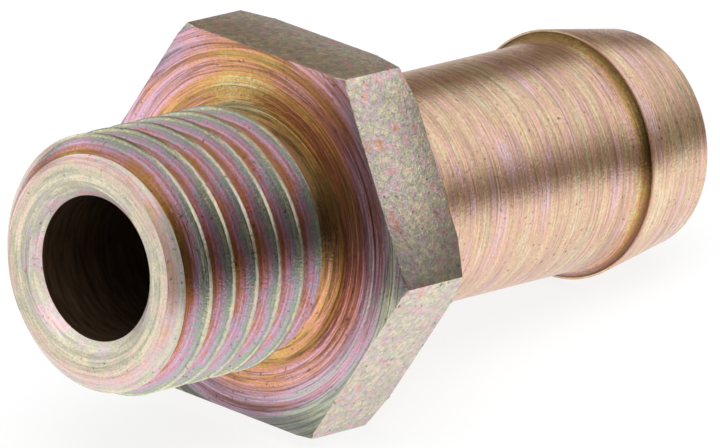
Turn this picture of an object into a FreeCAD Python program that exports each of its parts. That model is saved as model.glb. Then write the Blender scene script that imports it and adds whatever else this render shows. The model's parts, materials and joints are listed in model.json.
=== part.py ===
import FreeCAD, Part
import math
import os
import Sketcher
import types

# Steel hose nipple, turned from one length of hexagon bar: a male threaded stub with a relief
# groove, the hexagon for the spanner, and a plain shank with one barb for the hose. The bore
# runs right through. Millimetres.
# The body's own Z axis is the turning axis, from the threaded end face (Z = 0) to the barb's tip.
# Its placement lays it down as it comes to rest, on a flat of the hexagon and the barb's edge.

SIZES = [
    # name, value, meaning
    ("across_flats", 17.0, "hexagon bar, flat to flat"),
    ("stub_length", 10.35, "threaded end face to hexagon"),
    ("hexagon_thickness", 4.2, "spanner hexagon, along the axis"),
    ("shank_length", 16.85, "hexagon to the barb's sharp edge"),
    ("barb_length", 4.9, "sharp edge to the tip"),
    ("thread_diameter", 12.0, "over the crests"),
    ("thread_pitch", 1.5, "crest to crest"),
    ("thread_crest_flat", 0.24, "width of a crest"),
    ("thread_root_flat", 0.2, "width of the groove's bottom"),
    ("thread_flank_angle", 30.0, "degrees between a flank and the square to the axis"),
    ("thread_lead_in", 1.72, "the groove starts this far before the end face"),
    ("stub_face_diameter", 9.8, "flat ring on the threaded end"),
    ("stub_chamfer", 1.1, "length of the chamfer that starts the thread"),
    ("relief_diameter", 10.1, "bottom of the groove between thread and hexagon"),
    ("relief_width", 1.45, "last crest to hexagon"),
    ("relief_flank", 0.4, "length of the groove's sloping side"),
    ("relief_fillet", 1.0, "groove's round rise into the hexagon's face"),
    ("front_corner_diameter", 18.9, "hexagon's corners begin to be chamfered here"),
    ("back_corner_diameter", 18.0, "the same, on the hose side"),
    ("corner_slope", 30.0, "degrees between corner chamfer and hexagon face"),
    ("shank_diameter", 10.7, "plain shank inside the hose"),
    ("shank_corner", 0.3, "45-degree corner between shank and hexagon"),
    ("barb_diameter", 11.7, "over the sharp edge"),
    ("barb_face", 0.1, "height of the flat just under the sharp edge"),
    ("barb_fillet", 1.5, "hollow rise from shank to barb"),
    ("tip_diameter", 10.2, "small end of the barb's cone"),
    ("tip_break_length", 0.35, "broken edge of the tip, along the axis"),
    ("tip_break_depth", 0.25, "broken edge of the tip, towards the axis"),
    ("bore_diameter", 6.6, "through bore"),
    ("stub_mouth_chamfer", 0.55, "bore chamfer on the threaded end"),
    ("tip_mouth_chamfer", 0.35, "bore chamfer on the tip"),
    ("tool_clearance", 1.0, "cutting outlines reach this far past the bar"),
]


class Size:
    """A size of the sheet, or one worked out from such sizes. It carries its number, where a
    drawing starts, and the expression that keeps the drawing tied to the sheet."""

    def __init__(self, number, expression):
        self.number = number
        self.expression = expression

    def joined(self, other, sign, number):
        return Size(number, "(%s %s %s)" % (self.expression, sign, other.expression))

    def __add__(self, other):
        return self.joined(other, "+", self.number + other.number)

    def __sub__(self, other):
        return self.joined(other, "-", self.number - other.number)

    def __mul__(self, other):
        return self.joined(other, "*", self.number * other.number)

    def __truediv__(self, other):
        return self.joined(other, "/", self.number / other.number)

    def __neg__(self):
        return Size(-self.number, "-(%s)" % self.expression)


def half(size):
    return size / Size(2.0, "2")


def square_root(size):
    return Size(math.sqrt(size.number), "sqrt(%s)" % size.expression)


def degrees(size):
    return Size(size.number, "(%s * 1 deg)" % size.expression)


def sine(angle):
    return Size(math.sin(math.radians(angle.number)), "sin(%s)" % angle.expression)


def cosine(angle):
    return Size(math.cos(math.radians(angle.number)), "cos(%s)" % angle.expression)


def tangent(angle):
    return Size(math.tan(math.radians(angle.number)), "tan(%s)" % angle.expression)


def arctangent(ratio):
    return Size(math.degrees(math.atan(ratio.number)), "atan(%s)" % ratio.expression)


# The driving sizes, and the places along the axis and radii worked out from them.
size = types.SimpleNamespace(**{name: Size(value, "sizes." + name) for name, value, _ in SIZES})
AXIS = Size(0.0, "0")
END_FACE = Size(0.0, "0")
HEXAGON_FRONT = size.stub_length
HEXAGON_BACK = HEXAGON_FRONT + size.hexagon_thickness
BARB_EDGE = HEXAGON_BACK + size.shank_length
TIP = BARB_EDGE + size.barb_length
RELIEF_START = HEXAGON_FRONT - size.relief_width
CORNER_RADIUS = size.across_flats / square_root(Size(3.0, "3"))
OUTSIDE = CORNER_RADIUS + size.tool_clearance
BEFORE = -size.tool_clearance
BEYOND = TIP + size.tool_clearance
STUB_RADIUS = half(size.thread_diameter)
FACE_RADIUS = half(size.stub_face_diameter)
FLANK_SLOPE = tangent(degrees(size.thread_flank_angle))
THREAD_DEPTH = half(size.thread_pitch - size.thread_crest_flat - size.thread_root_flat) / FLANK_SLOPE
ROOT_RADIUS = STUB_RADIUS - THREAD_DEPTH
RELIEF_RADIUS = half(size.relief_diameter)
SHANK_RADIUS = half(size.shank_diameter)
BARB_RADIUS = half(size.barb_diameter)
BARB_RISE = BARB_RADIUS - size.barb_face - SHANK_RADIUS
BARB_HOLLOW = square_root((size.barb_fillet + size.barb_fillet - BARB_RISE) * BARB_RISE)
BARB_SLOPE = (BARB_RADIUS - half(size.tip_diameter)) / size.barb_length
TIP_EDGE_RADIUS = half(size.tip_diameter) - size.tip_break_depth
BORE_RADIUS = half(size.bore_diameter)
# The lying part touches the floor along the flat's back edge and at the barb's edge.
REST_TILT = arctangent((half(size.across_flats) - BARB_RADIUS) / size.shank_length)


def make_sheet(doc):
    sheet = doc.addObject("Spreadsheet::Sheet", "sizes")
    for row, (name, value, meaning) in enumerate(SIZES, start=1):
        sheet.set("A%d" % row, meaning)
        sheet.set("B%d" % row, str(value))
        sheet.setAlias("B%d" % row, name)
    doc.recompute()


def origin_plane(body, role):
    for feature in body.Origin.OriginFeatures:
        if feature.Role == role:
            return feature
    raise ValueError("no origin plane " + role)


def new_sketch(body, name, role):
    sketch = body.newObject("Sketcher::SketchObject", name)
    sketch.AttachmentSupport = [(origin_plane(body, role), "")]
    sketch.MapMode = "FlatFace"
    return sketch


def arc_through(start, end, radius, side):
    """Arc of the radius from start to end, its centre left (1) or right (-1) of the way."""
    chord = end - start
    middle = start + chord * 0.5
    across = FreeCAD.Vector(-chord.y, chord.x, 0).normalize() * side
    centre = middle + across * math.sqrt(radius ** 2 - (chord.Length / 2) ** 2)
    crown = centre - across * radius
    return Part.Arc(start, crown, end)


def hold_point(sketch, geometry, point, axis, name, place):
    """Ties one coordinate of a point to the sheet."""
    kind, axis_line = {"x": ("DistanceX", -2), "y": ("DistanceY", -1)}[axis]
    if place.number == 0:
        sketch.addConstraint(Sketcher.Constraint("PointOnObject", geometry, point, axis_line))
        return
    if place.number > 0:
        constraint = Sketcher.Constraint(kind, -1, 1, geometry, point, place.number)
    else:
        place = -place
        constraint = Sketcher.Constraint(kind, geometry, point, -1, 1, place.number)
    index = sketch.addConstraint(constraint)
    sketch.renameConstraint(index, name)
    sketch.setExpression("Constraints." + name, place.expression)


def add_outline(sketch, title, corners):
    """Closed outline. A corner is (radius, station), or (radius, station, arc radius, side)
    where the edge that arrives at it is an arc."""
    places = [FreeCAD.Vector(corner[0].number, corner[1].number, 0) for corner in corners]
    starts = []
    ends = []
    for number, corner in enumerate(corners):
        before = places[number - 1]
        here = places[number]
        if len(corner) == 2:
            index = sketch.addGeometry(Part.LineSegment(before, here), False)
        else:
            arc_radius, side = corner[2:]
            arc = arc_through(before, here, arc_radius.number, side)
            index = sketch.addGeometry(arc, False)
            bound = sketch.addConstraint(Sketcher.Constraint("Radius", index, arc_radius.number))
            sketch.renameConstraint(bound, "%s_arc_%d" % (title, number))
            sketch.setExpression("Constraints.%s_arc_%d" % (title, number), arc_radius.expression)
        first = sketch.getPoint(index, 1).distanceToPoint(before)
        second = sketch.getPoint(index, 2).distanceToPoint(before)
        starts.append((index, 1 if first <= second else 2))
        ends.append((index, 2 if first <= second else 1))
    for number, corner in enumerate(corners):
        leaving = starts[(number + 1) % len(corners)]
        sketch.addConstraint(Sketcher.Constraint("Coincident", *ends[number], *leaving))
    for number, corner in enumerate(corners):
        leaving = starts[(number + 1) % len(corners)]
        hold_point(sketch, *leaving, "x", "%s_radius_%d" % (title, number), corner[0])
        hold_point(sketch, *leaving, "y", "%s_station_%d" % (title, number), corner[1])


def turned_cut(body, name, outlines):
    """Groove right round the axis."""
    sketch = new_sketch(body, name + "_outline", "XZ_Plane")
    for number, corners in enumerate(outlines):
        add_outline(sketch, "part%d" % number, corners)
    groove = body.newObject("PartDesign::Groove", name)
    groove.Profile = sketch
    groove.ReferenceAxis = (sketch, ["V_Axis"])
    groove.Angle = 360
    sketch.Document.recompute()
    return groove


def hexagon_bar(body):
    """Bar stock of the whole length, one flat square to the X axis."""
    sketch = new_sketch(body, "bar_section", "XY_Plane")
    corners = []
    for number in range(6):
        angle = math.radians(60 * number - 30)
        corner = FreeCAD.Vector(math.cos(angle), math.sin(angle), 0) * CORNER_RADIUS.number
        corners.append(corner)
    for number in range(6):
        sketch.addGeometry(Part.LineSegment(corners[number], corners[(number + 1) % 6]), False)
    ring = Part.Circle(FreeCAD.Vector(0, 0, 0), FreeCAD.Vector(0, 0, 1), CORNER_RADIUS.number)
    circle = sketch.addGeometry(ring, True)
    sketch.addConstraint(Sketcher.Constraint("Coincident", circle, 3, -1, 1))
    for number in range(6):
        after = (number + 1) % 6
        sketch.addConstraint(Sketcher.Constraint("Coincident", number, 2, after, 1))
        sketch.addConstraint(Sketcher.Constraint("PointOnObject", number, 1, circle))
        if number:
            sketch.addConstraint(Sketcher.Constraint("Equal", 0, number))
    sketch.addConstraint(Sketcher.Constraint("Vertical", 0))
    hold_point(sketch, 0, 1, "x", "half_across_flats", half(size.across_flats))
    pad = body.newObject("PartDesign::Pad", "hexagon_bar")
    pad.Profile = sketch
    pad.setExpression("Length", TIP.expression)
    sketch.Document.recompute()
    return pad


def stub_cut(body):
    """Outside of the threaded stub: end ring, chamfer, thread blank and relief groove."""
    return turned_cut(body, "stub_turning", [[
        (OUTSIDE, BEFORE),
        (FACE_RADIUS, BEFORE),
        (FACE_RADIUS, END_FACE),
        (STUB_RADIUS, size.stub_chamfer),
        (STUB_RADIUS, RELIEF_START),
        (RELIEF_RADIUS, RELIEF_START + size.relief_flank),
        (RELIEF_RADIUS, HEXAGON_FRONT - size.relief_fillet),
        (RELIEF_RADIUS + size.relief_fillet, HEXAGON_FRONT, size.relief_fillet, -1),
        (OUTSIDE, HEXAGON_FRONT),
    ]])


def hose_side_cut(body):
    """Outside of the hose end: shank, hollow rise, sharp edge, cone and the tip's broken edge."""
    return turned_cut(body, "hose_side_turning", [[
        (OUTSIDE, HEXAGON_BACK),
        (SHANK_RADIUS + size.shank_corner, HEXAGON_BACK),
        (SHANK_RADIUS, HEXAGON_BACK + size.shank_corner),
        (SHANK_RADIUS, BARB_EDGE - BARB_HOLLOW),
        (SHANK_RADIUS + BARB_RISE, BARB_EDGE, size.barb_fillet, -1),
        (BARB_RADIUS, BARB_EDGE),
        (half(size.tip_diameter) + size.tip_break_length * BARB_SLOPE, TIP - size.tip_break_length),
        (TIP_EDGE_RADIUS, TIP),
        (TIP_EDGE_RADIUS, BEYOND),
        (OUTSIDE, BEYOND),
    ]])


def corner_cut(body):
    """Chamfers on the hexagon's corners, front and back."""
    slope = tangent(degrees(size.corner_slope))
    front = half(size.front_corner_diameter)
    back = half(size.back_corner_diameter)
    return turned_cut(body, "corner_chamfers", [
        [(front, HEXAGON_FRONT), (OUTSIDE, HEXAGON_FRONT),
         (OUTSIDE, HEXAGON_FRONT + (OUTSIDE - front) * slope)],
        [(back, HEXAGON_BACK), (OUTSIDE, HEXAGON_BACK - (OUTSIDE - back) * slope),
         (OUTSIDE, HEXAGON_BACK)],
    ])


def bore_cut(body):
    """Through bore with a chamfered mouth at both ends."""
    stub_mouth = BORE_RADIUS + size.stub_mouth_chamfer
    tip_mouth = BORE_RADIUS + size.tip_mouth_chamfer
    return turned_cut(body, "bore", [[
        (AXIS, BEFORE),
        (stub_mouth, BEFORE),
        (stub_mouth, END_FACE),
        (BORE_RADIUS, size.stub_mouth_chamfer),
        (BORE_RADIUS, TIP - size.tip_mouth_chamfer),
        (tip_mouth, TIP),
        (tip_mouth, BEYOND),
        (AXIS, BEYOND),
    ]])


def thread_cut(body):
    """Right-hand V groove, wound from before the end face into the relief groove."""
    sketch = new_sketch(body, "thread_section", "XZ_Plane")
    # The groove opens a quarter of a crest past the crests, where its turns still don't touch.
    open_radius = STUB_RADIUS + half(half(size.thread_crest_flat))
    half_root = half(size.thread_root_flat)
    half_opening = half_root + (open_radius - ROOT_RADIUS) * FLANK_SLOPE
    start = -size.thread_lead_in
    add_outline(sketch, "groove", [
        (ROOT_RADIUS, start - half_root),
        (open_radius, start - half_opening),
        (open_radius, start + half_opening),
        (ROOT_RADIUS, start + half_root),
    ])
    helix = body.newObject("PartDesign::SubtractiveHelix", "thread")
    helix.Profile = sketch
    helix.ReferenceAxis = (sketch, ["V_Axis"])
    helix.Mode = "pitch-height-angle"
    helix.Angle = 0
    helix.LeftHanded = False
    helix.Reversed = False
    helix.setExpression("Pitch", size.thread_pitch.expression)
    helix.setExpression("Height", (RELIEF_START - start + half_opening).expression)
    sketch.Document.recompute()
    return helix


def lay_down(body):
    """Turns the axis from upright to lying, its barb end down, with the middle of the
    part's length over the origin and the floor at Z = 0."""
    lowest = half(size.across_flats) * cosine(REST_TILT) + HEXAGON_BACK * sine(REST_TILT)
    stub_end = -FACE_RADIUS * sine(REST_TILT)
    tip_end = TIP_EDGE_RADIUS * sine(REST_TILT) + TIP * cosine(REST_TILT)
    upright = FreeCAD.Vector(0, 0, 0)
    body.Placement = FreeCAD.Placement(upright, FreeCAD.Rotation(FreeCAD.Vector(0, 1, 0), 90))
    body.setExpression("Placement.Rotation.Angle", "90 deg + " + REST_TILT.expression)
    body.setExpression("Placement.Base.x", (-half(stub_end + tip_end)).expression)
    body.setExpression("Placement.Base.z", lowest.expression)
    body.Document.recompute()


def make_nipple(doc):
    body = doc.addObject("PartDesign::Body", "nipple")
    body.Label = "hose_nipple"
    volume = hexagon_bar(body).Shape.Volume
    for step in (stub_cut, hose_side_cut, corner_cut, bore_cut, thread_cut):
        feature = step(body)
        if not feature.Shape.Volume < volume:
            raise ValueError(feature.Label + " cuts nothing")
        volume = feature.Shape.Volume
    lay_down(body)
    return body


def check(doc, bodies):
    for item in doc.Objects:
        if "Invalid" in item.State or "Error" in item.State:
            raise ValueError("failed: " + item.Label)
        if item.TypeId == "Sketcher::SketchObject" and not item.FullyConstrained:
            raise ValueError("loose sketch: " + item.Label)
    for body in bodies:
        if body.Shape.isNull() or not body.Shape.isValid() or len(body.Shape.Solids) != 1:
            raise ValueError("bad shape: " + body.Label)


def main():
    doc = FreeCAD.newDocument("hose_nipple")
    make_sheet(doc)
    bodies = [make_nipple(doc)]
    doc.recompute()
    check(doc, bodies)
    os.makedirs("parts", exist_ok=True)
    for body in bodies:
        body.Shape.exportStep("parts/" + body.Label + ".step")
        box = body.Shape.optimalBoundingBox(False)
        print(body.Label, "volume", round(body.Shape.Volume, 2), "centre of mass",
              [round(v, 3) for v in body.Shape.Solids[0].CenterOfMass], "box",
              [round(v, 3) for v in (box.XMin, box.XMax, box.YMin, box.YMax, box.ZMin, box.ZMax)])


main()
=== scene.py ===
import json
import math
import types

import bmesh
import bpy
from mathutils import Color, Matrix, Quaternion, Vector


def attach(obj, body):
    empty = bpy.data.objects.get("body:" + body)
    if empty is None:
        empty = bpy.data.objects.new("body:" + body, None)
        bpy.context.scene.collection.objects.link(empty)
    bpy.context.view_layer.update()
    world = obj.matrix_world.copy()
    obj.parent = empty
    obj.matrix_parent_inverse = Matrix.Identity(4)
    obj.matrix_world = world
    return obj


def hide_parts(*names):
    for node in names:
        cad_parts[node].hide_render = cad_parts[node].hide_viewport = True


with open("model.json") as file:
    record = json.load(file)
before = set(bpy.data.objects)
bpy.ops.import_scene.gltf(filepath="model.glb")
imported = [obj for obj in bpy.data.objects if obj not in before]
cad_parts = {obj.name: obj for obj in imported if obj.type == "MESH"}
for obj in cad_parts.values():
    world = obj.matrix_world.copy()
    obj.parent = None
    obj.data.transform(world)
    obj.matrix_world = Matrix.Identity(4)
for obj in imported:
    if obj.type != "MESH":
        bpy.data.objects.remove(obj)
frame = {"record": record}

bl_info = {
    "name": "Hose nipple",
    "version": (1, 0, 0),
    "blender": (4, 5, 0),
    "location": "3D View > Sidebar > Hose nipple",
    "description": "Turned steel hose nipple with thread, hexagon and barb, zinc plated and passivated",
    "category": "Add Mesh",
}

# Modelling is done in millimetres on the turning axis Z, from the threaded end face at Z = 0.
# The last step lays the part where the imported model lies, in metres.
MM = 0.001
FACETS = 144
WELD = 0.002

MOUNTS = {mount["name"]: mount for mount in frame["record"]["mounts"]}
THREAD_DIAMETER = 2 * MOUNTS["thread"]["dims"]["r_mm"]
BORE_DIAMETER = 2 * MOUNTS["bore"]["dims"]["r_mm"]


def length(name, description, millimetres):
    return bpy.props.FloatProperty(
        name=name, description=description, default=millimetres * MM, min=0.0,
        precision=5, unit="LENGTH", subtype="DISTANCE")


def angle(name, description, degrees):
    return bpy.props.FloatProperty(
        name=name, description=description, default=math.radians(degrees), min=0.0,
        unit="ROTATION", subtype="ANGLE")


def colour(name, description, red, green, blue):
    return bpy.props.FloatVectorProperty(
        name=name, description=description, default=(red, green, blue), size=3,
        min=0.0, max=1.0, subtype="COLOR_GAMMA")


def fraction(name, description, part):
    return bpy.props.FloatProperty(
        name=name, description=description, default=part, min=0.0, max=1.0, subtype="FACTOR")


class NippleSizes(bpy.types.PropertyGroup):
    across_flats: length("Across flats", "Hexagon bar, flat to flat", 17.0)
    stub_length: length("Stub length", "Threaded end face to hexagon", 10.35)
    hexagon_thickness: length("Hexagon thickness", "Spanner hexagon, along the axis", 4.2)
    shank_length: length("Shank length", "Hexagon to the barb's sharp edge", 16.85)
    barb_length: length("Barb length", "Sharp edge to the tip", 4.9)
    thread_diameter: length("Thread diameter", "Over the crests", THREAD_DIAMETER)
    thread_pitch: length("Thread pitch", "Crest to crest", 1.5)
    thread_crest_flat: length("Crest flat", "Width of a crest", 0.24)
    thread_root_flat: length("Root flat", "Width of the groove's bottom", 0.2)
    thread_flank_angle: angle("Flank angle", "Between a flank and the square to the axis", 30.0)
    thread_lead_in: length("Thread lead-in", "The groove starts this far before the end face", 1.72)
    thread_rounding: length("Crest rounding", "Round edges of the crests and the root", 0.05)
    stub_face_diameter: length("Stub face", "Flat ring on the threaded end", 9.8)
    stub_chamfer: length("Stub chamfer", "Chamfer that starts the thread", 1.1)
    relief_diameter: length("Relief diameter", "Groove between thread and hexagon", 10.1)
    relief_width: length("Relief width", "Last crest to hexagon", 1.45)
    relief_flank: length("Relief flank", "The groove's sloping side", 0.4)
    relief_fillet: length("Relief fillet", "Round rise into the hexagon's face", 1.0)
    front_corner_diameter: length("Front corners", "Corner chamfers begin here", 18.9)
    back_corner_diameter: length("Back corners", "Corner chamfers begin here, hose side", 18.0)
    corner_slope: angle("Corner slope", "Between corner chamfer and hexagon face", 30.0)
    hexagon_edge: length("Hexagon edge", "Round on the hexagon's edges", 0.06)
    shank_diameter: length("Shank diameter", "Plain shank inside the hose", 10.7)
    shank_corner: length("Shank corner", "Corner between shank and hexagon", 0.3)
    barb_diameter: length("Barb diameter", "Over the sharp edge", 11.7)
    barb_face: length("Barb face", "Flat just under the sharp edge", 0.1)
    barb_fillet: length("Barb fillet", "Hollow rise from shank to barb", 1.5)
    tip_diameter: length("Tip diameter", "Small end of the barb's cone", 10.2)
    tip_break_length: length("Tip break length", "Broken edge of the tip, along the axis", 0.35)
    tip_break_depth: length("Tip break depth", "Broken edge of the tip, towards the axis", 0.25)
    turned_edge: length("Turned edge", "Round on the turned edges", 0.05)
    bore_diameter: length("Bore diameter", "Through bore", BORE_DIAMETER)
    stub_mouth_chamfer: length("Stub mouth", "Bore chamfer on the threaded end", 0.55)
    tip_mouth_chamfer: length("Tip mouth", "Bore chamfer on the tip", 0.35)
    feed_mark: length("Feed mark", "Spacing of the marks that turning left", 0.22)
    mark_depth: length("Mark depth", "Depth of those marks", 0.006)


class NippleColours(bpy.types.PropertyGroup):
    straw: colour("Straw", "Thinnest passivation film", 0.95, 0.89, 0.68)
    gold: colour("Gold", "Film, first yellow", 0.91, 0.75, 0.38)
    orange: colour("Orange", "Film, first orange", 0.89, 0.62, 0.42)
    rose: colour("Rose", "Film, first red", 0.93, 0.68, 0.65)
    lilac: colour("Lilac", "Film, first violet", 0.91, 0.74, 0.87)
    slate: colour("Slate", "Film, first blue", 0.73, 0.77, 0.74)
    sage: colour("Sage", "Film, first green", 0.75, 0.78, 0.66)
    cream: colour("Cream", "Film, second yellow", 0.92, 0.90, 0.77)
    blush: colour("Blush", "Film, second red", 0.90, 0.77, 0.74)
    pale: colour("Pale metal", "Matte zinc between the film's colours", 0.93, 0.85, 0.77)
    skin: colour("Skin", "Warm matte zinc of the turned hose end", 0.97, 0.86, 0.81)
    grime: colour("Grime", "Specks and the bottom of marks", 0.25, 0.20, 0.15)
    drilled: colour("Drilled", "Wall of the bore", 0.52, 0.42, 0.32)
    drilled_dark: colour("Drilled, dark", "Marks in the bore", 0.30, 0.23, 0.17)


def in_millimetres(group):
    """The group's sizes in the modelling unit; angles stay in radians."""
    values = {}
    for entry in group.bl_rna.properties:
        if entry.type == "FLOAT":
            value = getattr(group, entry.identifier)
            values[entry.identifier] = value / MM if entry.subtype == "DISTANCE" else value
    return types.SimpleNamespace(**values)


def plan(group):
    """Sizes, with the radii and the places along the axis that follow from them."""
    s = in_millimetres(group)
    s.corner_radius = s.across_flats / math.sqrt(3)
    s.hexagon_front = s.stub_length
    s.hexagon_back = s.hexagon_front + s.hexagon_thickness
    s.barb_edge = s.hexagon_back + s.shank_length
    s.tip = s.barb_edge + s.barb_length
    s.crest_radius = s.thread_diameter / 2
    flats = s.thread_crest_flat + s.thread_root_flat
    s.root_radius = s.crest_radius - (s.thread_pitch - flats) / 2 / math.tan(s.thread_flank_angle)
    s.relief_start = s.hexagon_front - s.relief_width
    s.relief_radius = s.relief_diameter / 2
    s.relief_floor = s.relief_start + s.relief_flank
    s.face_radius = s.stub_face_diameter / 2
    s.shank_radius = s.shank_diameter / 2
    s.barb_radius = s.barb_diameter / 2
    s.tip_radius = s.tip_diameter / 2
    s.bore_radius = s.bore_diameter / 2
    # Rings where the separately made surfaces meet.
    s.stub_seam = s.face_radius - 0.15
    s.relief_seam = s.relief_floor + 0.03
    s.hexagon_seam = s.across_flats / 2 - 2 * s.hexagon_edge
    return s


# Modelling helpers


def rounded(corners, segments=4):
    """Profile from (radius, station) corners; a third number rounds the corner to that radius."""
    points = []
    for number, corner in enumerate(corners):
        here = Vector(corner[:2])
        if len(corner) == 2:
            points.append(here)
            continue
        arriving = (here - Vector(corners[number - 1][:2])).normalized()
        leaving = (Vector(corners[number + 1][:2]) - here).normalized()
        turn = arriving.angle_signed(leaving)
        reach = corner[2] * math.tan(abs(turn) / 2)
        start = here - arriving * reach
        side = math.copysign(1.0, turn)
        centre = start + Vector((arriving.y, -arriving.x)) * side * corner[2]
        for step in range(segments + 1):
            swing = Matrix.Rotation(-turn * step / segments, 2)
            points.append(centre + swing @ (start - centre))
    return points


def spun(profile, closed=False):
    """Surface of revolution of a profile about Z."""
    shell = bmesh.new()
    points = [shell.verts.new((point[0], 0.0, point[1])) for point in profile]
    pairs = list(zip(points, points[1:]))
    if closed:
        pairs.append((points[-1], points[0]))
    lines = [shell.edges.new(pair) for pair in pairs]
    bmesh.ops.spin(shell, geom=points + lines, cent=(0, 0, 0), axis=(0, 0, 1), dvec=(0, 0, 0),
                   angle=math.tau, steps=FACETS, use_merge=True)
    bmesh.ops.remove_doubles(shell, verts=shell.verts, dist=WELD)
    bmesh.ops.recalc_face_normals(shell, faces=shell.faces)
    return shell


def as_object(shell, name):
    mesh = bpy.data.meshes.new(name)
    shell.to_mesh(mesh)
    shell.free()
    piece = bpy.data.objects.new(name, mesh)
    bpy.context.scene.collection.objects.link(piece)
    return piece


def common_part(first, second):
    """What two closed shells share."""
    kept = as_object(first, "kept")
    other = as_object(second, "other")
    cut = kept.modifiers.new("cut", "BOOLEAN")
    cut.operation = "INTERSECT"
    cut.solver = "EXACT"
    cut.object = other
    result = bmesh.new()
    result.from_object(kept, bpy.context.evaluated_depsgraph_get())
    for piece in (kept, other):
        mesh = piece.data
        bpy.data.objects.remove(piece)
        bpy.data.meshes.remove(mesh)
    return result


def drop_faces(shell, test):
    faces = [face for face in shell.faces if test(face)]
    bmesh.ops.delete(shell, geom=faces, context="FACES")


def ring_radius(vertex):
    return math.hypot(vertex.co.x, vertex.co.y)


def feed_marks(start, end, spacing, depth, phase):
    """Uneven shallow marks between two stations: (station, how deep)."""
    count = max(2, int(abs(end - start) / spacing))
    marks = []
    for number in range(1, count):
        share = number / count
        wander = math.sin(12.9898 * (number + phase)) * 43758.5453
        wander -= math.floor(wander)
        marks.append((start + (end - start) * share, depth * wander * (number % 2)))
    return marks


# The turned shells


def threaded_stub(s):
    """Thread, its starting chamfer and the relief groove's sloping side, open at both ends."""
    half_crest = s.thread_pitch / 2
    half_root = s.thread_root_flat / 2
    half_opening = (s.thread_pitch - s.thread_crest_flat) / 2
    centre = -s.thread_lead_in
    tooth = rounded([
        (s.crest_radius, centre - half_crest),
        (s.crest_radius, centre - half_opening, s.thread_rounding),
        (s.root_radius, centre - half_root, s.thread_rounding),
        (s.root_radius, centre + half_root, s.thread_rounding),
        (s.crest_radius, centre + half_opening, s.thread_rounding),
        (s.crest_radius, centre + half_crest),
    ], 3)
    turns = math.ceil((s.relief_seam + s.thread_pitch + half_crest - centre) / s.thread_pitch)
    rod = bmesh.new()
    points = [rod.verts.new((point[0], 0.0, point[1])) for point in tooth]
    lines = [rod.edges.new(pair) for pair in zip(points, points[1:])]
    bmesh.ops.spin(rod, geom=points + lines, cent=(0, 0, 0), axis=(0, 0, 1),
                   dvec=(0, 0, s.thread_pitch / FACETS), angle=math.tau * turns,
                   steps=FACETS * turns, use_merge=False)
    bmesh.ops.remove_doubles(rod, verts=rod.verts, dist=WELD)
    below = -half_crest / 2
    above = s.relief_seam + half_crest / 2
    for station, up in ((below, -1), (above, 1)):
        geometry = rod.verts[:] + rod.edges[:] + rod.faces[:]
        bmesh.ops.bisect_plane(rod, geom=geometry, dist=WELD / 10, plane_co=(0, 0, station),
                               plane_no=(0, 0, up), clear_outer=True)
    rim = [edge for edge in rod.edges if edge.is_boundary]
    bmesh.ops.holes_fill(rod, edges=rim, sides=0)
    bmesh.ops.recalc_face_normals(rod, faces=rod.faces)
    outside = s.crest_radius + 0.5
    slope = (s.crest_radius - s.face_radius) / s.stub_chamfer
    flank = s.relief_flank / (s.crest_radius - s.relief_radius)
    envelope = spun(rounded([
        (0.0, 0.0),
        (s.stub_seam, 0.0),
        (s.face_radius, 0.0, s.turned_edge),
        (outside, (outside - s.face_radius) / slope),
        (outside, s.relief_start - (outside - s.crest_radius) * flank),
        (s.relief_radius, s.relief_floor),
        (s.relief_radius, s.relief_seam),
        (0.0, s.relief_seam),
    ]))
    stub = common_part(rod, envelope)
    drop_faces(stub, lambda face: all(
        abs(v.co.z) < WELD and ring_radius(v) < s.stub_seam + WELD for v in face.verts))
    drop_faces(stub, lambda face: all(abs(v.co.z - s.relief_seam) < WELD for v in face.verts))
    return stub


def relief_and_face(s):
    """Bottom of the relief groove, its round rise and the turned face of the hexagon."""
    profile = rounded([
        (s.relief_radius, s.relief_seam),
        (s.relief_radius, s.hexagon_front, s.relief_fillet),
        (s.hexagon_seam, s.hexagon_front),
    ], 10)
    edge = profile[-2].x
    marks = feed_marks(edge, s.hexagon_seam, s.feed_mark / 2, s.mark_depth, 3)
    face = [Vector((radius, s.hexagon_front + depth)) for radius, depth in marks]
    return spun(profile[:-1] + face + profile[-1:])


def hexagon_ring(s):
    """Flats, corner chamfers and rounded edges, open inside."""
    outside = s.corner_radius + 1.0
    front = s.front_corner_diameter / 2
    back = s.back_corner_diameter / 2
    slope = math.tan(s.corner_slope)
    disc = spun([
        (s.hexagon_seam, s.hexagon_front),
        (front, s.hexagon_front),
        (outside, s.hexagon_front + (outside - front) * slope),
        (outside, s.hexagon_back - (outside - back) * slope),
        (back, s.hexagon_back),
        (s.hexagon_seam, s.hexagon_back),
    ], closed=True)
    bar = bmesh.new()
    bmesh.ops.create_circle(bar, cap_ends=True, radius=s.corner_radius, segments=6)
    bmesh.ops.translate(bar, verts=bar.verts, vec=(0, 0, s.hexagon_front - 1.0))
    grown = bmesh.ops.extrude_face_region(bar, geom=bar.faces[:])["geom"]
    moved = [item for item in grown if isinstance(item, bmesh.types.BMVert)]
    bmesh.ops.translate(bar, verts=moved, vec=(0, 0, s.hexagon_thickness + 2.0))
    bmesh.ops.recalc_face_normals(bar, faces=bar.faces)
    ring = common_part(disc, bar)
    bmesh.ops.remove_doubles(ring, verts=ring.verts, dist=s.hexagon_edge / 2)
    edges = [edge for edge in ring.edges
             if len(edge.link_faces) == 2 and edge.calc_face_angle() > math.radians(10)
             and min(ring_radius(v) for v in edge.verts) > s.hexagon_seam + WELD]
    bmesh.ops.bevel(ring, geom=edges, offset=s.hexagon_edge, offset_type="OFFSET", segments=2,
                    profile=0.5, affect="EDGES", clamp_overlap=False, material=-1)
    drop_faces(ring, lambda face: all(ring_radius(v) < s.hexagon_seam + WELD for v in face.verts))
    return ring


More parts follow.
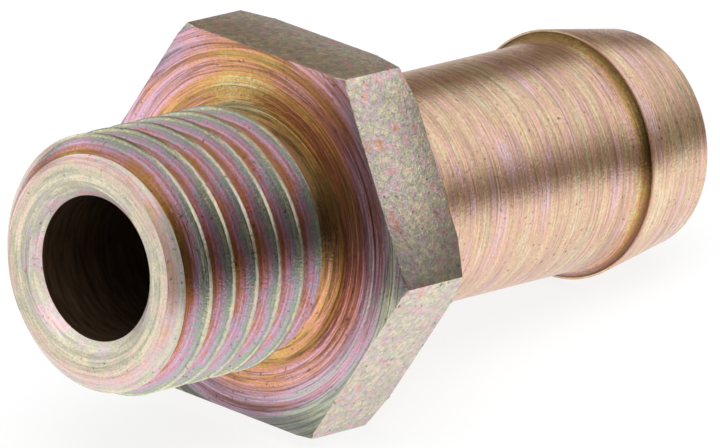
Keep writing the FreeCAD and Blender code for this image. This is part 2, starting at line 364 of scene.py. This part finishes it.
def bore_and_hose_end(s):
    """From the stub's end ring through the bore and round the hose end to the hexagon's back."""
    rise = s.barb_radius - s.barb_face - s.shank_radius
    hollow = math.sqrt((2 * s.barb_fillet - rise) * rise)
    swing = math.asin(hollow / s.barb_fillet)
    centre = Vector((s.shank_radius + s.barb_fillet, s.barb_edge - hollow))
    steps = 10
    rising = []
    for step in range(steps, -1, -1):
        turn = swing * step / steps
        rising.append(centre + s.barb_fillet * Vector((-math.cos(turn), math.sin(turn))))
    cone = (s.barb_radius - s.tip_radius) / s.barb_length
    inner = rounded([
        (s.stub_seam, 0.0),
        (s.bore_radius + s.stub_mouth_chamfer, 0.0, s.turned_edge),
        (s.bore_radius, s.stub_mouth_chamfer, s.turned_edge),
        (s.bore_radius, s.tip - s.tip_mouth_chamfer, s.turned_edge),
        (s.bore_radius + s.tip_mouth_chamfer, s.tip, s.turned_edge),
        (s.tip_radius - s.tip_break_depth, s.tip, 3 * s.turned_edge),
        (s.tip_radius + s.tip_break_length * cone, s.tip - s.tip_break_length, 3 * s.turned_edge),
        (s.barb_radius, s.barb_edge, s.turned_edge / 2),
        (s.barb_radius - s.barb_face, s.barb_edge),
    ], 3)
    shank = [Vector((s.shank_radius - depth, station)) for station, depth in
             feed_marks(rising[-1].y, s.hexagon_back + s.shank_corner, s.feed_mark, s.mark_depth, 11)]
    outer = rounded([
        (s.shank_radius, s.hexagon_back + s.shank_corner),
        (s.shank_radius + s.shank_corner, s.hexagon_back),
        (s.hexagon_seam, s.hexagon_back),
    ])
    return spun(inner[:-1] + rising + shank + outer)


def lying_matrix():
    """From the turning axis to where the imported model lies."""
    shank = MOUNTS["hose_shank"]
    bore = MOUNTS["bore"]
    s = plan(bpy.context.scene.nipple_sizes)
    along = Vector(shank["axis"]).normalized()
    across = Vector((0, 1, 0))
    down = across.cross(along)
    middle = (s.stub_mouth_chamfer + s.tip - s.tip_mouth_chamfer) / 2
    end_face = Vector(bore["pos_m"]) - along * middle * MM
    turned = Matrix((down, across, along)).transposed().to_4x4()
    return Matrix.Translation(end_face) @ turned @ Matrix.Scale(MM, 4)


FINISHES = ("end_ring", "thread_flanks", "faced_hexagon", "rolled_flats", "turned_hose_end",
            "drilled_bore")


def finish_of(face, s):
    """Which finish a face of the closed nipple has."""
    place = face.calc_center_median()
    radius = math.hypot(place.x, place.y)
    if radius < s.bore_radius + WELD:
        return "drilled_bore"
    if place.z < s.stub_mouth_chamfer and radius < s.face_radius:
        return "end_ring"
    if place.z < s.relief_floor:
        cone = s.face_radius + place.z * (s.crest_radius - s.face_radius) / s.stub_chamfer
        return "end_ring" if abs(radius - cone) < 0.02 and place.z < s.stub_chamfer else "thread_flanks"
    if radius > s.hexagon_seam and abs(face.normal.z) < 0.7:
        return "rolled_flats"
    if place.z < (s.hexagon_front + s.hexagon_back) / 2:
        return "faced_hexagon"
    return "turned_hose_end"


# Node materials

NOISE_LOW = 0.3
NOISE_HIGH = 0.7
# Sizes of the finest patterns, as noise scales per millimetre.
TINT = 6.5
GRAIN = 10.0
PITS = 5.0
# Tool marks lighten the metal up to here.
BRIGHTEST = 1.12


def linear(gamma_colour):
    """Scene-linear colour of one that was set as it looks on the screen."""
    return tuple(Color(gamma_colour).from_srgb_to_scene_linear())


class Finish:
    """A node material being put together. Its coordinates are millimetres about the turning axis."""

    def __init__(self, name):
        self.material = bpy.data.materials.new(name)
        self.material.use_nodes = True
        self.nodes = self.material.node_tree.nodes
        self.links = self.material.node_tree.links
        self.nodes.clear()
        self.output = self.add("ShaderNodeOutputMaterial")
        self.shader = self.add("ShaderNodeBsdfPrincipled")
        self.links.new(self.shader.outputs["BSDF"], self.output.inputs["Surface"])
        place = lying_matrix()
        self.turn = place.to_euler()
        coordinates = self.add("ShaderNodeTexCoord")
        mapping = self.add("ShaderNodeMapping")
        mapping.vector_type = "TEXTURE"
        mapping.inputs["Location"].default_value = place.to_translation()
        mapping.inputs["Rotation"].default_value = self.turn
        mapping.inputs["Scale"].default_value = (MM, MM, MM)
        self.links.new(coordinates.outputs["Object"], mapping.inputs["Vector"])
        self.point = mapping.outputs["Vector"]
        split = self.add("ShaderNodeSeparateXYZ")
        self.links.new(self.point, split.inputs["Vector"])
        self.x, self.y, self.station = split.outputs
        squares = self.total(self.product(self.x, self.x), self.product(self.y, self.y))
        self.radius = self.math("SQRT", squares)

    def add(self, kind):
        return self.nodes.new(kind)

    def put(self, value, socket):
        """Links an output, or sets a constant."""
        if isinstance(value, bpy.types.NodeSocket):
            self.links.new(value, socket)
        else:
            socket.default_value = value

    def math(self, operation, *values):
        node = self.add("ShaderNodeMath")
        node.operation = operation
        for value, socket in zip(values, node.inputs):
            self.put(value, socket)
        return node.outputs["Value"]

    def total(self, first, *others):
        for other in others:
            first = self.math("ADD", first, other)
        return first

    def product(self, first, *others):
        for other in others:
            first = self.math("MULTIPLY", first, other)
        return first

    def scale_to(self, value, low, high, bottom=0.0, top=1.0, smooth=False):
        node = self.add("ShaderNodeMapRange")
        node.interpolation_type = "SMOOTHSTEP" if smooth else "LINEAR"
        for number, setting in enumerate((value, low, high, bottom, top)):
            self.put(setting, node.inputs[number])
        return node.outputs["Result"]

    def vector(self, x, y, z):
        node = self.add("ShaderNodeCombineXYZ")
        for value, socket in zip((x, y, z), node.inputs):
            self.put(value, socket)
        return node.outputs["Vector"]

    def noise(self, vector, scale, detail=3.0, roughness=0.5):
        node = self.add("ShaderNodeTexNoise")
        self.put(vector, node.inputs["Vector"])
        node.inputs["Scale"].default_value = scale
        node.inputs["Detail"].default_value = detail
        node.inputs["Roughness"].default_value = roughness
        return node.outputs["Fac"]

    def spread(self, noise, bottom, top):
        """Takes the range that noise mostly keeps to, to the one from bottom to top."""
        return self.scale_to(noise, NOISE_LOW, NOISE_HIGH, bottom, top)

    def marks(self, along, density, wander, detail=4.0):
        """Noise drawn out round the axis, as a cutting tool leaves it; density is per millimetre."""
        vector = self.vector(self.product(self.math("DIVIDE", self.x, self.radius), wander),
                             self.product(self.math("DIVIDE", self.y, self.radius), wander),
                             self.product(along, density))
        return self.noise(vector, 1.0, detail, 0.6)

    def thin_lines(self, marks, level, width):
        """1 along the thin lines where the marks pass a level."""
        away = self.math("ABSOLUTE", self.math("SUBTRACT", marks, level))
        return self.scale_to(away, 0.0, width, 1.0, 0.0, smooth=True)

    def ramp(self, value, stops):
        """Colours by position; a stop is (position, colour as seen)."""
        node = self.add("ShaderNodeValToRGB")
        self.put(value, node.inputs["Fac"])
        elements = node.color_ramp.elements
        while len(elements) < len(stops):
            elements.new(0.5)
        for element, (position, seen) in zip(elements, stops):
            element.position = position
            element.color = (*linear(seen), 1.0)
        return node.outputs["Color"]

    def mix(self, factor, first, second, blend="MIX"):
        node = self.add("ShaderNodeMix")
        node.data_type = "RGBA"
        node.blend_type = blend
        sockets = {socket.identifier: socket for socket in node.inputs}
        self.put(factor, sockets["Factor_Float"])
        self.put(first, sockets["A_Color"])
        self.put(second, sockets["B_Color"])
        return next(socket for socket in node.outputs if socket.identifier == "Result_Color")

    def bump(self, height, distance):
        """Raises the surface by the height times a distance in millimetres."""
        node = self.add("ShaderNodeBump")
        node.inputs["Strength"].default_value = 1.0
        node.inputs["Distance"].default_value = distance * MM
        self.put(height, node.inputs["Height"])
        self.links.new(node.outputs["Normal"], self.shader.inputs["Normal"])

    def draw_across(self, amount):
        """Draws reflections out across the tool marks that run round the axis."""
        round_axis = self.add("ShaderNodeVectorRotate")
        round_axis.rotation_type = "EULER_XYZ"
        round_axis.inputs["Rotation"].default_value = self.turn
        tangent = self.vector(self.product(self.y, -1.0), self.x, 0.0)
        self.put(tangent, round_axis.inputs["Vector"])
        self.links.new(round_axis.outputs["Vector"], self.shader.inputs["Tangent"])
        self.shader.inputs["Anisotropic"].default_value = amount
        self.shader.inputs["Anisotropic Rotation"].default_value = 0.25

    def surface(self, colour_output, roughness, metallic):
        self.put(colour_output, self.shader.inputs["Base Color"])
        self.put(roughness, self.shader.inputs["Roughness"])
        self.put(metallic, self.shader.inputs["Metallic"])
        return self.material


def solid(gamma_colour):
    return (*linear(gamma_colour), 1.0)


def film(colours):
    """Colours of the passivation film as it thickens: straw at 0, and the next at each eighth."""
    names = ("straw", "gold", "orange", "rose", "lilac", "slate", "sage", "cream", "blush")
    return [(number / (len(names) - 1), getattr(colours, name)) for number, name in enumerate(names)]


def passivated(finish, colours, thickness, tone, tone_share, marks, depth, roughness, specks=0.7,
               speckle=0.14, mark_contrast=0.16, sheen=0.0, metallic=0.95, lines=None,
               line_depth=0.5, shade=1.0):
    """Zinc under a film of the given thickness, with tool marks, grain and dark specks."""
    tint = finish.noise(finish.point, TINT, 2.0, 0.7)
    thickness = finish.total(thickness, finish.spread(tint, -speckle, speckle))
    seen = finish.mix(tone_share, finish.ramp(thickness, film(colours)), tone)
    grain = finish.noise(finish.point, GRAIN, 3.0, 0.7)
    light = finish.product(finish.spread(grain, 1.0 - 1.3 * speckle, 1.0 + 0.9 * speckle),
                           finish.spread(marks, 1.0 - mark_contrast, 1.0 + 0.7 * mark_contrast),
                           shade)
    if lines:
        dark = finish.thin_lines(lines, 0.47, 0.04)
        bright = finish.thin_lines(lines, 0.56, 0.04)
        light = finish.product(light, finish.scale_to(dark, 0.0, 1.0, 1.0, 1.0 - line_depth),
                               finish.scale_to(bright, 0.0, 1.0, 1.0, 1.0 + line_depth))
    light = finish.math("MINIMUM", light, BRIGHTEST)
    seen = finish.mix(1.0, seen, finish.vector(light, light, light), "MULTIPLY")
    pits = finish.noise(finish.point, PITS, 3.0, 0.5)
    in_pit = finish.scale_to(pits, 0.63, 0.74, 0.0, specks, smooth=True)
    seen = finish.mix(in_pit, seen, solid(colours.grime))
    finish.bump(finish.total(marks, finish.product(grain, 0.5)), depth)
    if sheen:
        finish.draw_across(sheen)
    return finish.surface(seen, roughness, metallic)


def end_ring_finish(name, colours, s):
    """Flat end ring, its bore chamfer and the plain parts of the thread's starting chamfer."""
    finish = Finish(name)
    marks = finish.marks(finish.radius, 6.0, 0.8)
    past_ring = finish.math("GREATER_THAN", finish.station, 0.6 * s.turned_edge)
    outside = finish.math("GREATER_THAN", finish.radius, s.face_radius)
    on_chamfer = finish.product(past_ring, outside)
    on_ring = finish.math("SUBTRACT", 1.0, on_chamfer)
    ring = finish.scale_to(finish.radius, s.bore_radius, s.face_radius, 0.5, 1.0)
    chamfer = finish.scale_to(finish.radius, s.face_radius, s.crest_radius, 0.36, 1.0)
    broad = finish.noise(finish.point, 0.9, 3.0)
    thickness = finish.total(finish.product(chamfer, on_chamfer), finish.product(ring, on_ring),
                             finish.spread(broad, -0.2, 0.2), finish.spread(marks, -0.14, 0.14))
    share = finish.scale_to(on_chamfer, 0.0, 1.0, 0.4, 0.5)
    shade = finish.scale_to(on_chamfer, 0.0, 1.0, 0.92, 1.04)
    # The bore's chamfer is duller than the ring.
    mouth = s.bore_radius + s.stub_mouth_chamfer
    metallic = finish.scale_to(finish.radius, mouth - 0.1, mouth + 0.1, 0.1, 0.7)
    lines = finish.marks(finish.radius, 2.6, 0.5)
    return passivated(finish, colours, thickness, solid(colours.pale), share, marks, depth=0.03,
                      roughness=0.3, sheen=0.4, metallic=metallic, lines=lines, line_depth=0.2,
                      shade=shade)


def thread_finish(name, colours, s):
    """Flanks with painted shade darkening them to the root, and thin pale lines along the crests, partly
    worn film and partly a painted highlight.
    """
    finish = Finish(name)
    marks = finish.marks(finish.radius, 9.0, 1.2, 5.0)
    depth = finish.scale_to(finish.radius, s.root_radius, s.crest_radius - 0.04)
    broad = finish.noise(finish.point, 0.5, 2.0)
    thickness = finish.total(finish.scale_to(depth, 0.0, 1.0, 0.14, 0.74),
                             finish.spread(marks, -0.12, 0.12), finish.spread(broad, -0.12, 0.12))
    # Place across the crest, from the middle of its flat, in millimetres.
    turns = finish.math("DIVIDE", finish.math("ARCTAN2", finish.y, finish.x), math.tau)
    pitches = finish.math("DIVIDE", finish.total(finish.station, s.thread_lead_in), s.thread_pitch)
    phase = finish.math("FRACT", finish.math("SUBTRACT", pitches, turns))
    across = finish.product(finish.math("SUBTRACT", phase, 0.5), s.thread_pitch)
    # The pale line along each crest is partly worn film and partly a painted highlight.
    wear_and_highlight = finish.noise(finish.point, 2.5, 4.0, 0.7)
    across = finish.total(across, finish.spread(wear_and_highlight, -0.07, 0.13))
    crest = finish.scale_to(finish.math("ABSOLUTE", across), 0.05, 0.09, 0.8, 0.0)
    # Painted shade, darkest in the thread's root.
    shade = finish.scale_to(depth, 0.0, 0.6, 0.68, 1.0)
    return passivated(finish, colours, thickness, solid(colours.pale), crest, marks, depth=0.03,
                      roughness=0.24, speckle=0.12, mark_contrast=0.36, sheen=0.7, shade=shade)


def faced_finish(name, colours, s):
    """Hexagon's turned face and the groove's round rise, in rings of gold, rose, lilac and green."""
    finish = Finish(name)
    marks = finish.marks(finish.radius, 7.0, 0.8, 6.0)
    broad = finish.noise(finish.point, 0.3, 2.0)
    rise = s.relief_radius + s.relief_fillet
    wave = finish.math("SINE", finish.product(finish.radius, 5.2))
    thickness = finish.total(finish.scale_to(finish.radius, rise, s.corner_radius, 0.13, 0.56),
                             finish.product(finish.x, 0.013),
                             finish.product(finish.math("ABSOLUTE", finish.y), 0.02),
                             finish.product(wave, 0.06), finish.spread(marks, -0.13, 0.13),
                             finish.spread(broad, -0.08, 0.08))
    # Painted shade, darker next to the thread on one side, in the lowest corner and in the groove's top.
    beside = finish.product(finish.scale_to(finish.y, -6.0, -3.0, 0.42, 0.0, smooth=True),
                            finish.scale_to(finish.x, -0.5, 1.5, 1.0, 0.0, smooth=True))
    corner = finish.scale_to(finish.x, 6.3, 8.3, 0.0, 0.55, smooth=True)
    groove = finish.product(finish.scale_to(finish.radius, rise - 0.45, rise + 0.05, 0.55, 0.0),
                            finish.scale_to(finish.x, -4.0, 0.0, 1.0, 0.0))
    shade = finish.math("SUBTRACT", 1.0, finish.total(beside, corner, groove))
    lines = finish.marks(finish.radius, 3.2, 0.7)
    return passivated(finish, colours, thickness, solid(colours.pale), 0.1, marks, depth=0.05,
                      roughness=0.2, speckle=0.07, mark_contrast=0.38, sheen=0.8, lines=lines,
                      line_depth=0.45, shade=shade)


def flats_finish(name, colours, s):
    """Mottled flats of the rolled bar, with a ragged pale line along their front edge."""
    finish = Finish(name)
    mottle = finish.noise(finish.point, 1.5, 3.0, 0.55)
    thickness = finish.spread(mottle, 0.28, 1.1)
    pores = finish.noise(finish.point, 3.5, 4.0, 0.7)
    ragged = finish.total(finish.station, finish.spread(pores, -0.06, 0.06))
    edge = finish.scale_to(ragged, s.hexagon_front + 0.07, s.hexagon_front + 0.13, 1.0, 0.4)
    # Painted shade on one flat, darker towards its lower corner.
    painted_shade_on_flat = finish.product(finish.scale_to(finish.x, -4.5, -0.5, 0.0, 0.5, smooth=True),
                           finish.math("LESS_THAN", finish.x, 0.0),
                           finish.math("LESS_THAN", finish.y, -7.0))
    shade = finish.math("SUBTRACT", 1.0, painted_shade_on_flat)
    return passivated(finish, colours, thickness, solid(colours.pale), edge, pores, depth=0.03,
                      roughness=0.25, specks=0.95, speckle=0.15, mark_contrast=0.28, metallic=0.9,
                      shade=shade)


def turned_finish(name, colours, s):
    """Shank, barb, tip and the hexagon's back, with a gold hollow that has painted shade under the edge.
    """
    finish = Finish(name)
    # Runs on from the end faces, where only the radius changes, to the shank, where only the
    # station does.
    along = finish.total(finish.station, finish.radius)
    marks = finish.marks(along, 8.0, 1.2, 6.0)
    broad = finish.marks(along, 1.4, 1.6, 3.0)
    inside = finish.math("LESS_THAN", finish.station, s.barb_edge)
    rise = finish.scale_to(finish.station, s.barb_edge - 0.8, s.barb_edge - 0.2, smooth=True)
    hollow = finish.product(rise, inside)
    plain = finish.math("SUBTRACT", 1.0, hollow)
    thickness = finish.total(
        finish.product(finish.scale_to(broad, 0.35, 0.65, 0.0, 0.42), plain),
        finish.product(hollow, finish.scale_to(finish.x, -4.0, 4.0, 0.14, 0.3)),
        finish.spread(marks, -0.12, 0.12))
    share = finish.scale_to(hollow, 0.0, 1.0, 0.55, 0.0)
    # Painted shade in the hollow, darkest just under the barb's sharp edge.
    under = finish.scale_to(finish.station, s.barb_edge - 0.5, s.barb_edge - 0.05, 0.0, 0.75)
    shade = finish.math("SUBTRACT", 1.0, finish.product(under, inside))
    lines = finish.marks(along, 3.0, 0.6, 2.0)
    return passivated(finish, colours, thickness, solid(colours.skin), share, marks, depth=0.03,
                      roughness=0.27, mark_contrast=0.2, sheen=0.8, lines=lines, line_depth=0.2,
                      shade=shade)


def bore_finish(name, colours, s):
    """Drilled bore, darker and duller than the outside."""
    finish = Finish(name)
    marks = finish.marks(finish.station, 4.0, 2.0)
    seen = finish.ramp(marks, [(NOISE_LOW, colours.drilled_dark), (NOISE_HIGH, colours.drilled)])
    finish.bump(marks, 0.03)
    return finish.surface(seen, 0.42, 0.85)


FINISH_MAKERS = dict(zip(FINISHES, (
    end_ring_finish, thread_finish, faced_finish, flats_finish, turned_finish, bore_finish)))


class NIPPLE_OT_body(bpy.types.Operator):
    """Makes the nipple: thread, hexagon, hose end and bore as one closed shell, with its finishes"""

    bl_idname = "nipple.body"
    bl_label = "Nipple body"

    def execute(self, context):
        s = plan(context.scene.nipple_sizes)
        whole = bmesh.new()
        for make in (threaded_stub, relief_and_face, hexagon_ring, bore_and_hose_end):
            shell = make(s)
            part = bpy.data.meshes.new("part")
            shell.to_mesh(part)
            shell.free()
            whole.from_mesh(part)
            bpy.data.meshes.remove(part)
        bmesh.ops.remove_doubles(whole, verts=whole.verts, dist=WELD)
        bmesh.ops.recalc_face_normals(whole, faces=whole.faces)
        open_edges = [edge for edge in whole.edges if not edge.is_manifold]
        if open_edges:
            corners = [edge.verts[0] for edge in open_edges]
            places = sorted({(round(ring_radius(v), 2), round(v.co.z, 2)) for v in corners})
            raise RuntimeError(f"the nipple isn't closed: {len(open_edges)} edges, at {places[:12]}")
        for face in whole.faces:
            face.material_index = FINISHES.index(finish_of(face, s))
            face.smooth = True
        for edge in whole.edges:
            edge.smooth = edge.calc_face_angle() < math.radians(24)
        piece = as_object(whole, "nipple_body")
        piece.data.transform(lying_matrix())
        for name in FINISHES:
            material = FINISH_MAKERS[name](name, context.scene.nipple_colours, s)
            piece.data.materials.append(material)
        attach(piece, "root")
        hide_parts("hose_nipple")
        return {"FINISHED"}


# Each card has its colour, distance, height, start and width in the stage's settings.
CARDS = ("low_wall", "far_card", "left_card", "camera_flag", "low_flag")


class StageSettings(bpy.types.PropertyGroup):
    aim: bpy.props.FloatVectorProperty(
        name="Aim", description="Point that the camera looks at", default=(-0.0003, -0.00003, 0.00688),
        subtype="TRANSLATION", unit="LENGTH")
    azimuth: angle("Azimuth", "Camera's heading, from +Y towards +X", 46.6045)
    elevation: angle("Elevation", "Camera's height above the horizon", 24.4642)
    roll: angle("Roll", "Camera's lean, clockwise", 0.9904)
    distance: length("Distance", "Camera to aim", 608.7)
    lens: bpy.props.FloatProperty(name="Lens", description="Focal length in millimetres", default=671.06)
    floor_colour: colour("Floor", "Pale floor", 0.97, 0.97, 0.97)
    floor_half: length("Floor", "Half of the floor's width", 3000.0)
    floor_white: fraction("Floor white", "How far seen rays find the floor plain white", 0.85)
    low_wall_colour: colour("Wall", "Low wall all round, out of view", 0.52, 0.50, 0.47)
    low_wall_distance: length("Wall distance", "From the object", 500.0)
    low_wall_height: angle("Wall height", "Seen from the object", 13.0)
    low_wall_start: angle("Wall start", "Heading of its first end", 0.0)
    low_wall_width: angle("Wall width", "From its first end on", 360.0)
    far_card_colour: colour("Far card", "Card behind the object, out of view", 0.43, 0.37, 0.28)
    far_card_distance: length("Far card distance", "From the object", 350.0)
    far_card_height: angle("Far card height", "Seen from the object", 52.0)
    far_card_start: angle("Far card start", "Heading of its first end", 15.0)
    far_card_width: angle("Far card width", "From its first end on", 53.0)
    left_card_colour: colour("Left card", "Card left of the object, out of view", 0.84, 0.81, 0.79)
    left_card_distance: length("Left card distance", "From the object", 485.0)
    left_card_height: angle("Left card height", "Seen from the object", 48.0)
    left_card_start: angle("Left card start", "Heading of its first end", 257.0)
    left_card_width: angle("Left card width", "From its first end on", 88.0)
    camera_flag_colour: colour("Flag", "Dark card near the threaded end, out of view", 0.15, 0.13, 0.12)
    camera_flag_distance: length("Flag distance", "From the object", 50.0)
    camera_flag_height: angle("Flag height", "Seen from the object", 46.0)
    camera_flag_start: angle("Flag start", "Heading of its first end", 163.0)
    camera_flag_width: angle("Flag width", "From its first end on", 97.0)
    low_flag_colour: colour("Low flag", "Low card near the hose side, out of view", 0.47, 0.43, 0.36)
    low_flag_distance: length("Low flag distance", "From the object", 46.0)
    low_flag_height: angle("Low flag height", "Seen from the object", 22.5)
    low_flag_start: angle("Low flag start", "Heading of its first end", 95.0)
    low_flag_width: angle("Low flag width", "From its first end on", 65.0)
    ceiling_colour: colour("Ceiling", "Card overhead, out of view", 0.80, 0.80, 0.79)
    ceiling_height: length("Ceiling height", "Above the floor", 560.0)
    ceiling_radius: length("Ceiling radius", "Of the round card overhead", 550.0)
    world_light: fraction("World light", "Background's strength as light", 0.6)
    world_seen: fraction("World seen", "Background's strength where it is seen", 1.0)
    lamp_place: bpy.props.FloatVectorProperty(
        name="Lamp", description="Place of the lamp overhead", default=(-0.1, -0.1, 0.5),
        subtype="TRANSLATION", unit="LENGTH")
    lamp_size: length("Lamp size", "Side of the square lamp", 500.0)
    lamp_power: bpy.props.FloatProperty(name="Lamp power", description="In watts", default=3.0)


class NIPPLE_OT_stage(bpy.types.Operator):
    """Sets up the pale floor, the soft studio light and the camera"""

    bl_idname = "nipple.stage"
    bl_label = "Stage"

    def execute(self, context):
        settings = context.scene.nipple_stage
        self.make_floor(settings)
        for name in CARDS:
            self.make_card(settings, name)
        self.make_ceiling(settings)
        self.make_world(context.scene, settings)
        self.make_lamp(context.scene, settings)
        self.make_camera(context.scene, settings)
        context.scene.view_settings.view_transform = "Standard"
        return {"FINISHED"}

    def make_floor(self, settings):
        shape = bmesh.new()
        bmesh.ops.create_grid(shape, x_segments=1, y_segments=1, size=settings.floor_half)
        floor = as_object(shape, "floor")
        material = bpy.data.materials.new("pale_floor")
        material.use_nodes = True
        nodes = material.node_tree.nodes
        links = material.node_tree.links
        nodes.clear()
        output = nodes.new("ShaderNodeOutputMaterial")
        diffuse = nodes.new("ShaderNodeBsdfDiffuse")
        diffuse.inputs["Color"].default_value = (*linear(settings.floor_colour), 1.0)
        white = nodes.new("ShaderNodeEmission")
        white.inputs["Strength"].default_value = 1.0
        whiteness = nodes.new("ShaderNodeMath")
        whiteness.operation = "MULTIPLY"
        whiteness.inputs[1].default_value = settings.floor_white
        mix = nodes.new("ShaderNodeMixShader")
        links.new(self.seen_rays(nodes, links), whiteness.inputs[0])
        links.new(whiteness.outputs["Value"], mix.inputs["Fac"])
        links.new(diffuse.outputs["BSDF"], mix.inputs[1])
        links.new(white.outputs["Emission"], mix.inputs[2])
        links.new(mix.outputs["Shader"], output.inputs["Surface"])
        floor.data.materials.append(material)

    def seen_rays(self, nodes, links):
        """1 for rays from the camera, or by way of gloss or glass."""
        path = nodes.new("ShaderNodeLightPath")
        either = nodes.new("ShaderNodeMath")
        either.operation = "MAXIMUM"
        links.new(path.outputs["Is Camera Ray"], either.inputs[0])
        links.new(path.outputs["Is Glossy Ray"], either.inputs[1])
        seen = nodes.new("ShaderNodeMath")
        seen.operation = "MAXIMUM"
        links.new(either.outputs["Value"], seen.inputs[0])
        links.new(path.outputs["Is Transmission Ray"], seen.inputs[1])
        return seen.outputs["Value"]

    def make_card(self, settings, name):
        """Upright curved card about the object; its heading runs from +Y towards +X."""
        distance = getattr(settings, name + "_distance")
        height = getattr(settings, name + "_height")
        start = getattr(settings, name + "_start")
        width = getattr(settings, name + "_width")
        shape = bmesh.new()
        foot = shape.verts.new((math.sin(start) * distance, math.cos(start) * distance, 0.0))
        head = shape.verts.new((foot.co.x, foot.co.y, math.tan(height) * distance))
        edge = shape.edges.new((foot, head))
        bmesh.ops.spin(shape, geom=[foot, head, edge], cent=(0, 0, 0), axis=(0, 0, -1), dvec=(0, 0, 0),
                       angle=width, steps=24, use_merge=math.isclose(width, math.tau, rel_tol=1e-5))
        self.finish_card(as_object(shape, name), getattr(settings, name + "_colour"))

    def make_ceiling(self, settings):
        shape = bmesh.new()
        bmesh.ops.create_circle(shape, cap_ends=True, radius=settings.ceiling_radius, segments=48)
        bmesh.ops.translate(shape, verts=shape.verts, vec=(0, 0, settings.ceiling_height))
        self.finish_card(as_object(shape, "ceiling"), settings.ceiling_colour)

    def finish_card(self, card, seen_colour):
        """Gives a card one even colour that only reflections show."""
        material = bpy.data.materials.new(card.name)
        material.use_nodes = True
        nodes = material.node_tree.nodes
        nodes.clear()
        glow = nodes.new("ShaderNodeEmission")
        glow.inputs["Color"].default_value = (*linear(seen_colour), 1.0)
        output = nodes.new("ShaderNodeOutputMaterial")
        material.node_tree.links.new(glow.outputs["Emission"], output.inputs["Surface"])
        card.data.materials.append(material)
        card.visible_camera = False
        card.visible_diffuse = False
        card.visible_shadow = False

    def make_world(self, scene, settings):
        world = bpy.data.worlds.new("studio")
        world.use_nodes = True
        nodes = world.node_tree.nodes
        links = world.node_tree.links
        background = nodes["Background"]
        background.inputs["Color"].default_value = (1.0, 1.0, 1.0, 1.0)
        strength = nodes.new("ShaderNodeMapRange")
        strength.inputs["To Min"].default_value = settings.world_light
        strength.inputs["To Max"].default_value = settings.world_seen
        links.new(self.seen_rays(nodes, links), strength.inputs["Value"])
        links.new(strength.outputs["Result"], background.inputs["Strength"])
        scene.world = world

    def make_lamp(self, scene, settings):
        data = bpy.data.lights.new("overhead", "AREA")
        data.shape = "SQUARE"
        data.size = settings.lamp_size
        data.energy = settings.lamp_power
        lamp = bpy.data.objects.new("overhead", data)
        lamp.location = settings.lamp_place
        lamp.visible_glossy = False
        lamp.rotation_mode = "QUATERNION"
        lamp.rotation_quaternion = (-Vector(settings.lamp_place)).to_track_quat("-Z", "Y")
        scene.collection.objects.link(lamp)

    def make_camera(self, scene, settings):
        heading = Vector((math.sin(settings.azimuth) * math.cos(settings.elevation),
                          math.cos(settings.azimuth) * math.cos(settings.elevation),
                          -math.sin(settings.elevation)))
        data = bpy.data.cameras.new("camera")
        data.lens = settings.lens
        data.clip_start = settings.distance / 10
        data.clip_end = settings.distance * 20
        camera = bpy.data.objects.new("camera", data)
        camera.location = Vector(settings.aim) - heading * settings.distance
        camera.rotation_mode = "QUATERNION"
        level = heading.to_track_quat("-Z", "Y")
        camera.rotation_quaternion = level @ Quaternion((0, 0, 1), -settings.roll)
        scene.collection.objects.link(camera)
        scene.camera = camera


class NIPPLE_PT_panel(bpy.types.Panel):
    """Lists the steps and the sizes"""

    bl_idname = "NIPPLE_PT_panel"
    bl_label = "Hose nipple"
    bl_space_type = "VIEW_3D"
    bl_region_type = "UI"
    bl_category = "Hose nipple"

    def draw(self, context):
        layout = self.layout
        layout.operator(NIPPLE_OT_body.bl_idname)
        layout.operator(NIPPLE_OT_stage.bl_idname)
        scene = context.scene
        for group in (scene.nipple_sizes, scene.nipple_colours, scene.nipple_stage):
            for entry in group.bl_rna.properties:
                if entry.identifier not in ("rna_type", "name"):
                    layout.prop(group, entry.identifier)


CLASSES = (NippleSizes, NippleColours, StageSettings, NIPPLE_OT_body, NIPPLE_OT_stage,
           NIPPLE_PT_panel)


def register():
    for item in CLASSES:
        bpy.utils.register_class(item)
    bpy.types.Scene.nipple_sizes = bpy.props.PointerProperty(type=NippleSizes)
    bpy.types.Scene.nipple_colours = bpy.props.PointerProperty(type=NippleColours)
    bpy.types.Scene.nipple_stage = bpy.props.PointerProperty(type=StageSettings)


def unregister():
    del bpy.types.Scene.nipple_stage
    del bpy.types.Scene.nipple_colours
    del bpy.types.Scene.nipple_sizes
    for item in reversed(CLASSES):
        bpy.utils.unregister_class(item)


def main():
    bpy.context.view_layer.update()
    register()
    bpy.ops.nipple.body()
    bpy.ops.nipple.stage()


if __name__ == "__main__":
    main()
